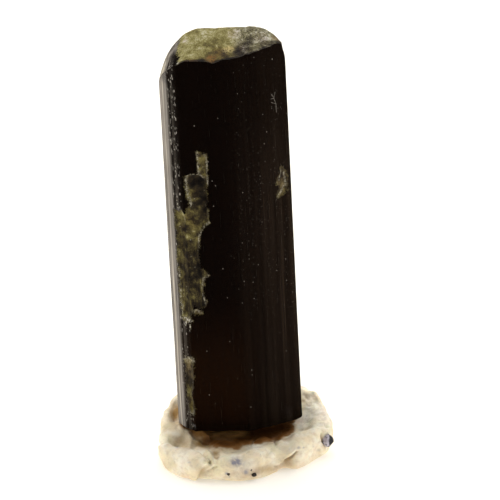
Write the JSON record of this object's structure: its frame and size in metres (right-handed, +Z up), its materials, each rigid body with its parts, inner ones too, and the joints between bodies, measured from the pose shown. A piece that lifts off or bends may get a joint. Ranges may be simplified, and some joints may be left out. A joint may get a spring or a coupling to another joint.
{
  "type": "tourmaline crystal",
  "caption": "Dark striated tourmaline prism with a rough green broken crown and chipped edge, standing upright in a pressed dab of cream mineral putty.",
  "frame": {"origin": "on the table, under the middle of the whole specimen's box", "axes": "+Z up; -Y is the side that the broad flat face of the crystal looks at; +X is to the right seen from that side"},
  "size_m": [0.0178, 0.0173, 0.0456],
  "materials": {
    "crystal": "near-black polished prism faces with fine lengthwise striations; rough olive-green crown and chips",
    "putty": "soft matt cream putty, kneaded and pressed, with faint blue-grey smears",
    "grit_pale": "dull lilac-grey mineral crumb with dark specks",
    "grit_dark": "dull dark mineral grains"
  },
  "bodies": {
    "root": {"crystal": "crystal", "putty": "putty", "grit_right": "grit_pale", "grit_front_upper": "grit_dark", "grit_front_lower": "grit_dark", "grit_front_left": "grit_dark"}
  },
  "joints": []
}
